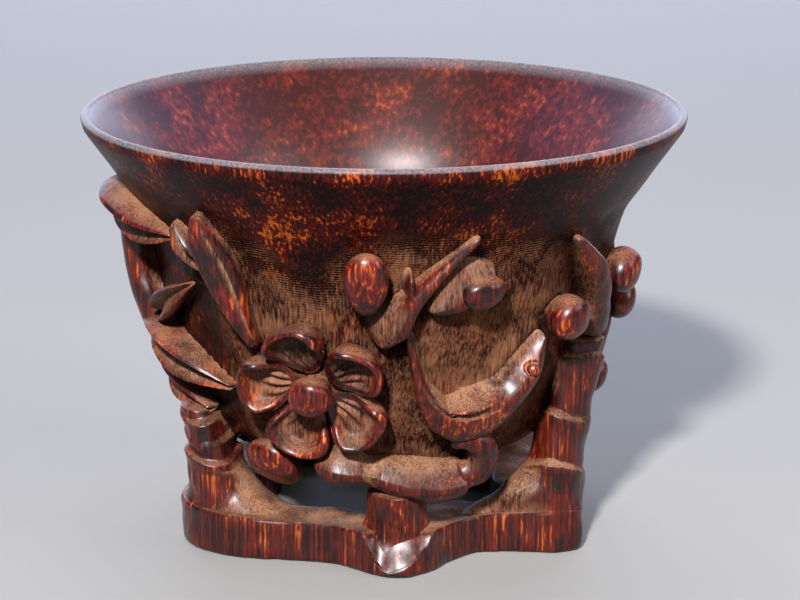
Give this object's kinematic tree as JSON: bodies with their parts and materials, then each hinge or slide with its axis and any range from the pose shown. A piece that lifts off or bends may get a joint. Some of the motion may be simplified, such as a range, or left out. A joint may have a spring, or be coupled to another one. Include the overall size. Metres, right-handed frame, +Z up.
{
  "type": "carved libation cup",
  "caption": "Small flared cup carved in dark wood, with a round hollow and an openwork foot of plum trunks, wrapped in blossom, buds, branches and leaves in high relief.",
  "frame": {"origin": "on the surface the cup stands on, under the middle of the bowl", "axes": "+Z up along the bowl's axis; the blossom side faces -Y; +X to the right as seen from the front"},
  "size_m": [0.08, 0.08, 0.056],
  "materials": {
    "bowl_wood": "polished",
    "branch_wood": "hand-rubbed",
    "blossom_wood": "hand-rubbed"
  },
  "bodies": {
    "root": {"bowl": "bowl_wood", "foot_ring": "branch_wood", "front_pistil": "blossom_wood", "front_petal_1": "blossom_wood", "front_petal_2": "blossom_wood", "front_petal_3": "blossom_wood", "front_petal_4": "blossom_wood", "front_petal_5": "blossom_wood", "back_pistil": "blossom_wood", "back_petal_1": "blossom_wood", "back_petal_2": "blossom_wood", "back_petal_3": "blossom_wood", "back_petal_4": "blossom_wood", "back_petal_5": "blossom_wood", "hanging_bud": "blossom_wood", "fork_bud": "blossom_wood", "right_bud": "blossom_wood", "side_bud": "blossom_wood", "lower_side_bud": "blossom_wood", "side_knot": "blossom_wood", "under_bud": "blossom_wood", "back_bud": "blossom_wood", "back_low_bud": "blossom_wood", "back_left_bud": "blossom_wood", "front_branch": "branch_wood", "branch_hook": "branch_wood", "back_branch": "branch_wood", "left_trunk": "branch_wood", "front_trunk": "branch_wood", "right_trunk": "branch_wood", "back_right_trunk": "branch_wood", "back_left_trunk": "branch_wood", "long_leaf": "blossom_wood", "small_leaf": "blossom_wood", "upper_leaf": "blossom_wood", "fork_leaf": "blossom_wood", "broad_leaf": "blossom_wood", "low_leaf": "blossom_wood", "back_leaf": "blossom_wood", "back_left_leaf": "blossom_wood", "crescent_root": "branch_wood", "crescent_branch": "branch_wood", "fork_twig": "branch_wood", "fork_prong": "branch_wood", "bud_leaf": "blossom_wood", "right_stem": "branch_wood", "left_stem": "branch_wood", "side_twig": "branch_wood", "back_twig": "branch_wood", "back_left_twig": "branch_wood"}
  },
  "joints": []
}
